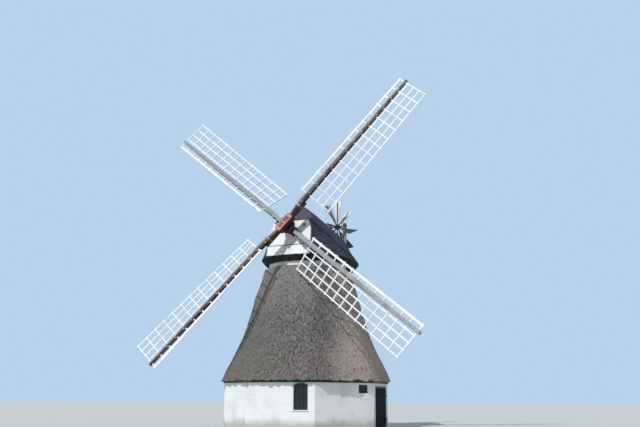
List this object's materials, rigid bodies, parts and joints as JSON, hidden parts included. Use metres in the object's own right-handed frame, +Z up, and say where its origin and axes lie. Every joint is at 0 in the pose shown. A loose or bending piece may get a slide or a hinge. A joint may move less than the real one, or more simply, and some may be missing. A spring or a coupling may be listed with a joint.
{
  "type": "traditional windmill",
  "caption": "Thatched eight-sided smock windmill with a turning cap, lattice sails on a tilted windshaft and a fantail.",
  "frame": {"origin": "axis of the tower at ground level", "axes": "+Z up, the gable and sails face -Y, +X to the right seen from the back"},
  "size_m": [16.005, 11.3301, 18.4073],
  "materials": {
    "white_masonry": "whitewashed brick",
    "floor_tiles": "stone floor",
    "thatch_smock": "weathered reed thatch",
    "thatch_cap": "dark weathered reed thatch",
    "white_boards": "painted boards",
    "grey_paint": "grey painted timber",
    "green_paint": "dark green painted timber",
    "bare_timber": "weathered oak",
    "cast_iron_red": "painted cast iron",
    "white_laths": "painted laths",
    "window_glass": "window glass",
    "fan_paint": "painted boards",
    "dark_iron": "black iron"
  },
  "bodies": {
    "tower": {"curb_ring": "white_boards", "door_frame": "green_paint", "door_hinge_pins": "green_paint", "door_lintel": "white_masonry", "door_pier_left": "white_masonry", "door_pier_right": "white_masonry", "eave_board": "green_paint", "floor_slab": "floor_tiles", "smock_panel_1": "thatch_smock", "smock_panel_2": "thatch_smock", "smock_panel_3": "thatch_smock", "smock_panel_4": "thatch_smock", "smock_panel_5": "thatch_smock", "smock_panel_6": "thatch_smock", "smock_panel_7": "thatch_smock", "smock_panel_8": "thatch_smock", "threshold": "floor_tiles", "wall_1": "white_masonry", "wall_2": "white_masonry", "wall_4": "white_masonry", "wall_5": "white_masonry", "wall_6": "white_masonry", "wall_7": "white_masonry", "wall_8": "white_masonry", "wall_plate": "bare_timber", "window_frames": "green_paint", "window_panes": "window_glass"},
    "cap": {"cap_ring": "bare_timber", "cap_roof": "thatch_cap", "cap_skirt": "thatch_cap", "fan_braces": "green_paint", "fan_posts": "bare_timber", "fan_rails": "green_paint", "front_gable": "white_boards", "front_hip": "thatch_cap", "glide_blocks": "bare_timber", "sheers": "bare_timber", "tail_beam": "bare_timber", "weather_beam": "bare_timber"},
    "sails": {"poll_end": "cast_iron_red", "sail_1": "white_laths", "sail_2": "white_laths", "sail_3": "white_laths", "sail_4": "white_laths", "stock_bands": "grey_paint", "stock_front": "grey_paint", "stock_rear": "grey_paint", "windshaft": "dark_iron"},
    "fan": {"fan_blades": "fan_paint", "fan_shaft": "dark_iron"},
    "door_left": {"door_leaf_left": "green_paint"},
    "door_right": {"door_leaf_right": "green_paint"}
  },
  "joints": [
    {"name": "cap_turn", "type": "hinge", "parent": "tower", "child": "cap", "pos_m": [0, 0, 8.9], "axis": [0, 0, 1], "continuous": true},
    {"name": "sails_spin", "type": "hinge", "parent": "cap", "child": "sails", "pos_m": [0, -3.04, 10.626], "axis": [0, -0.9622, 0.2723], "continuous": true},
    {"name": "fan_spin", "type": "hinge", "parent": "cap", "child": "fan", "pos_m": [0, 4.18, 11.72], "axis": [0.9659, -0.2588, 0], "continuous": true},
    {"name": "door_left_swing", "type": "hinge", "parent": "tower", "child": "door_left", "pos_m": [4.20567, -0.65102, 1.1], "axis": [0, 0, -1], "range_deg": [0, 100]},
    {"name": "door_right_swing", "type": "hinge", "parent": "tower", "child": "door_right", "pos_m": [3.8633, 1.78504, 1.1], "axis": [0, 0, 1], "range_deg": [0, 100]}
  ]
}
